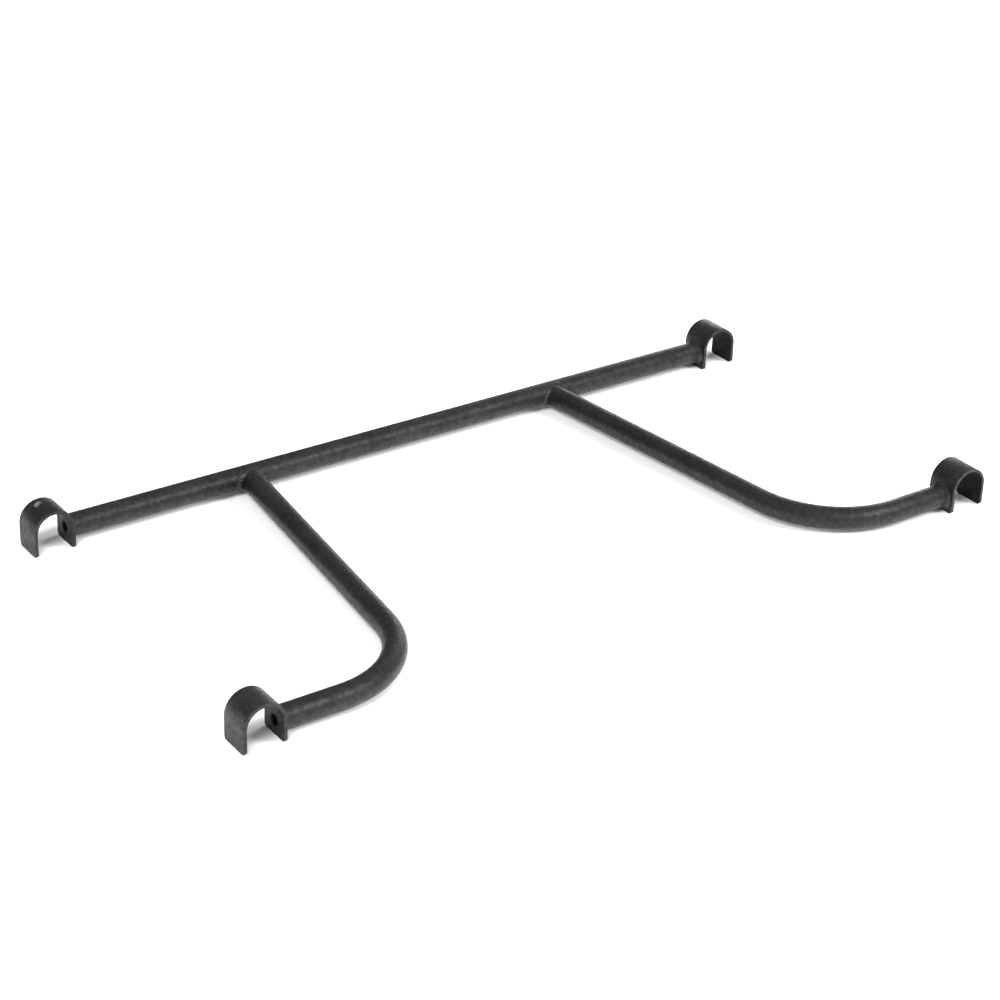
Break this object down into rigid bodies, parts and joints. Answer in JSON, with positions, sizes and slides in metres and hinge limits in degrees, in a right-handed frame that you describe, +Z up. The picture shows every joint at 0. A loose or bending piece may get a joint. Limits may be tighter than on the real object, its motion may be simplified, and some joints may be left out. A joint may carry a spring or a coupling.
{
  "type": "kip bar floor brace",
  "caption": "Welded steel floor brace for a kip bar: a straight cross tube, outward-bent arms and open U saddles that hook over the bar's base tubes.",
  "frame": {"origin": "on the floor, in the middle of the frame's length and depth", "axes": "+X to the right along the cross tube, +Y to the back where the cross tube is, +Z up"},
  "size_m": [1.288, 0.645, 0.067],
  "materials": {
    "tube_coat": "satin powder coat with a fine texture",
    "saddle_coat": "satin powder coat with a fine texture, worn a little at the edges",
    "weld_coat": "satin powder coat over a rippled weld bead"
  },
  "bodies": {
    "root": {"cross_tube": "tube_coat", "left_arm_tube": "tube_coat", "right_arm_tube": "tube_coat", "back_left_saddle": "saddle_coat", "back_right_saddle": "saddle_coat", "front_left_saddle": "saddle_coat", "front_right_saddle": "saddle_coat", "left_tee_weld": "weld_coat", "right_tee_weld": "weld_coat", "back_left_saddle_weld": "weld_coat", "back_right_saddle_weld": "weld_coat", "front_left_saddle_weld": "weld_coat", "front_right_saddle_weld": "weld_coat"}
  },
  "joints": []
}
